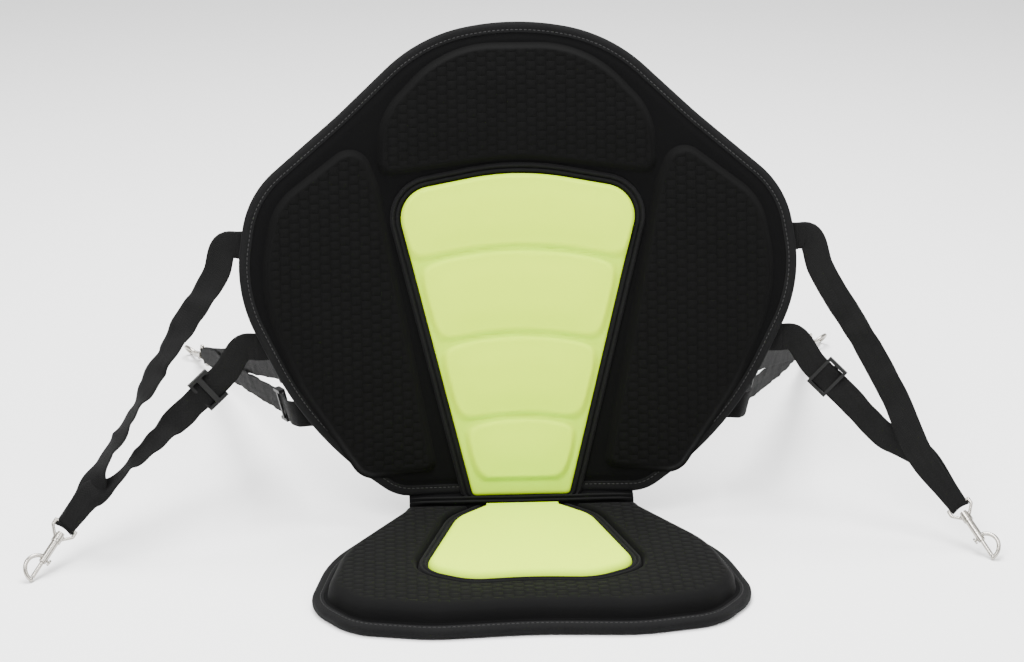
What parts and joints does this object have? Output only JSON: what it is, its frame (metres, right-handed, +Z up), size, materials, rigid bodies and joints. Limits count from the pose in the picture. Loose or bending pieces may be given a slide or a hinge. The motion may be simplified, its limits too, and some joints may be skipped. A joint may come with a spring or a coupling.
{
  "type": "clip-in kayak seat",
  "caption": "Padded seat cushion and moulded backrest with a bright lumbar panel, held by webbing straps with sliders and swivel snap hooks.",
  "frame": {"origin": "the middle of the cushion's underside", "axes": "+X to the sitter's left and along the widest spread of the straps, -Y the way the sitter looks, +Z up"},
  "size_m": [0.8861, 0.7183, 0.4583],
  "materials": {
    "base_cloth": "plain woven polyester, coated",
    "shell_cloth": "smooth knitted black cloth, heat moulded",
    "pad_cloth": "black cloth moulded over foam with a fine staggered emboss",
    "bright_cloth": "lime yellow cloth with a staggered brick emboss",
    "binding": "ribbed grosgrain tape",
    "webbing": "ribbed polypropylene webbing",
    "foam": "closed-cell foam",
    "stiffener": "thin sheet",
    "slider_plastic": "moulded acetal, fine grain",
    "nickel": "nickel plate over zinc casting",
    "spring_steel": "drawn wire"
  },
  "bodies": {
    "seat": {"seat_base_fabric": "base_cloth", "seat_foam_core": "foam", "seat_top_shell": "shell_cloth", "seat_edge_binding": "binding", "seat_pad": "pad_cloth", "seat_insert_border": "binding", "seat_insert": "bright_cloth", "fold_strip": "binding"},
    "backrest": {"back_rear_panel": "base_cloth", "back_stiffener": "stiffener", "back_foam_core": "foam", "back_front_shell": "shell_cloth", "back_edge_binding": "binding", "top_pad": "pad_cloth", "side_pad_left": "pad_cloth", "side_pad_right": "pad_cloth", "lumbar_border": "binding", "lumbar_panel": "bright_cloth", "rear_tape_upper": "webbing", "rear_tape_lower": "webbing", "rear_patch_left": "webbing", "rear_patch_right": "webbing"},
    "front_left_strap": {"front_left_upper_webbing": "webbing", "front_left_lower_webbing": "webbing"},
    "front_left_slider": {"front_left_slider": "slider_plastic"},
    "front_left_eye": {"front_left_hook_eye": "nickel"},
    "front_left_hook": {"front_left_hook": "nickel", "front_left_hook_spring": "spring_steel"},
    "front_left_bolt": {"front_left_hook_bolt": "nickel"},
    "front_right_strap": {"front_right_upper_webbing": "webbing", "front_right_lower_webbing": "webbing"},
    "front_right_slider": {"front_right_slider": "slider_plastic"},
    "front_right_eye": {"front_right_hook_eye": "nickel"},
    "front_right_hook": {"front_right_hook": "nickel", "front_right_hook_spring": "spring_steel"},
    "front_right_bolt": {"front_right_hook_bolt": "nickel"},
    "rear_left_strap": {"rear_left_upper_webbing": "webbing", "rear_left_lower_webbing": "webbing"},
    "rear_left_slider": {"rear_left_slider": "slider_plastic"},
    "rear_left_eye": {"rear_left_hook_eye": "nickel"},
    "rear_left_hook": {"rear_left_hook": "nickel", "rear_left_hook_spring": "spring_steel"},
    "rear_left_bolt": {"rear_left_hook_bolt": "nickel"},
    "rear_right_strap": {"rear_right_upper_webbing": "webbing", "rear_right_lower_webbing": "webbing"},
    "rear_right_slider": {"rear_right_slider": "slider_plastic"},
    "rear_right_eye": {"rear_right_hook_eye": "nickel"},
    "rear_right_hook": {"rear_right_hook": "nickel", "rear_right_hook_spring": "spring_steel"},
    "rear_right_bolt": {"rear_right_hook_bolt": "nickel"}
  },
  "joints": [
    {"name": "backrest_fold", "type": "hinge", "parent": "seat", "child": "backrest", "pos_m": [0, 0.1135, 0.029], "axis": [1, 0, 0], "range_deg": [-15, 92]},
    {"name": "front_left_strap_swing", "type": "hinge", "parent": "backrest", "child": "front_left_strap", "pos_m": [0.264, 0.1654, 0.2665], "axis": [0.1457, 0.2082, 0.9672], "range_deg": [-22, 40]},
    {"name": "front_left_slider_slide", "type": "slide", "parent": "front_left_strap", "child": "front_left_slider", "axis": [-0.6826, 0.3902, 0.6179], "range_m": [-0.08, 0.025]},
    {"name": "front_left_eye_tilt", "type": "hinge", "parent": "front_left_strap", "child": "front_left_eye", "pos_m": [0.402, 0.0585, 0.036], "axis": [0.7614, -0.0819, 0.643], "range_deg": [-80, 90]},
    {"name": "front_left_hook_swivel", "type": "hinge", "parent": "front_left_eye", "child": "front_left_hook", "pos_m": [0.402, 0.0585, 0.036], "axis": [0.4058, -0.7133, -0.5714], "continuous": true},
    {"name": "front_left_bolt_slide", "type": "slide", "parent": "front_left_hook", "child": "front_left_bolt", "axis": [-0.4058, 0.7133, 0.5714], "range_m": [0, 0.007], "stiffness_N_per_m": 300, "springref_m": -0.004, "deforming": ["front_left_hook_spring"]},
    {"name": "front_right_strap_swing", "type": "hinge", "parent": "backrest", "child": "front_right_strap", "pos_m": [-0.264, 0.1654, 0.2665], "axis": [-0.1457, 0.2082, 0.9672], "range_deg": [-40, 22]},
    {"name": "front_right_slider_slide", "type": "slide", "parent": "front_right_strap", "child": "front_right_slider", "axis": [0.7183, 0.3715, 0.5882], "range_m": [-0.08, 0.025]},
    {"name": "front_right_eye_tilt", "type": "hinge", "parent": "front_right_strap", "child": "front_right_eye", "pos_m": [-0.418, 0.0585, 0.036], "axis": [-0.7389, -0.0488, 0.6721], "range_deg": [-80, 90]},
    {"name": "front_right_hook_swivel", "type": "hinge", "parent": "front_right_eye", "child": "front_right_hook", "pos_m": [-0.418, 0.0585, 0.036], "axis": [-0.4756, -0.6688, -0.5714], "continuous": true},
    {"name": "front_right_bolt_slide", "type": "slide", "parent": "front_right_hook", "child": "front_right_bolt", "axis": [0.4756, 0.6688, 0.5714], "range_m": [0, 0.007], "stiffness_N_per_m": 300, "springref_m": -0.004, "deforming": ["front_right_hook_spring"]},
    {"name": "rear_left_strap_swing", "type": "hinge", "parent": "backrest", "child": "rear_left_strap", "pos_m": [0.214, 0.15016, 0.14766], "axis": [0.2589, 0.1891, 0.9472], "range_deg": [-40, 40]},
    {"name": "rear_left_slider_slide", "type": "slide", "parent": "rear_left_strap", "child": "rear_left_slider", "axis": [-0.3364, -0.9198, 0.2019], "range_m": [-0.05, 0.03]},
    {"name": "rear_left_eye_tilt", "type": "hinge", "parent": "rear_left_strap", "child": "rear_left_eye", "pos_m": [0.352, 0.5495, 0.018], "axis": [0.2518, 0.1692, 0.9529], "range_deg": [-95, 95]},
    {"name": "rear_left_hook_swivel", "type": "hinge", "parent": "rear_left_eye", "child": "rear_left_hook", "pos_m": [0.352, 0.5495, 0.018], "axis": [0.4214, 0.8672, -0.2653], "continuous": true},
    {"name": "rear_left_bolt_slide", "type": "slide", "parent": "rear_left_hook", "child": "rear_left_bolt", "axis": [-0.4214, -0.8672, 0.2653], "range_m": [0, 0.007], "stiffness_N_per_m": 300, "springref_m": -0.004, "deforming": ["rear_left_hook_spring"]},
    {"name": "rear_right_strap_swing", "type": "hinge", "parent": "backrest", "child": "rear_right_strap", "pos_m": [-0.214, 0.15016, 0.14766], "axis": [-0.2589, 0.1891, 0.9472], "range_deg": [-40, 40]},
    {"name": "rear_right_slider_slide", "type": "slide", "parent": "rear_right_strap", "child": "rear_right_slider", "axis": [0.2913, -0.9344, 0.2051], "range_m": [-0.05, 0.03]},
    {"name": "rear_right_eye_tilt", "type": "hinge", "parent": "rear_right_strap", "child": "rear_right_eye", "pos_m": [-0.33, 0.5495, 0.018], "axis": [-0.2563, 0.1806, 0.9496], "range_deg": [-95, 95]},
    {"name": "rear_right_hook_swivel", "type": "hinge", "parent": "rear_right_eye", "child": "rear_right_hook", "pos_m": [-0.33, 0.5495, 0.018], "axis": [-0.3496, 0.8985, -0.2653], "continuous": true},
    {"name": "rear_right_bolt_slide", "type": "slide", "parent": "rear_right_hook", "child": "rear_right_bolt", "axis": [0.3496, -0.8985, 0.2653], "range_m": [0, 0.007], "stiffness_N_per_m": 300, "springref_m": -0.004, "deforming": ["rear_right_hook_spring"]}
  ]
}
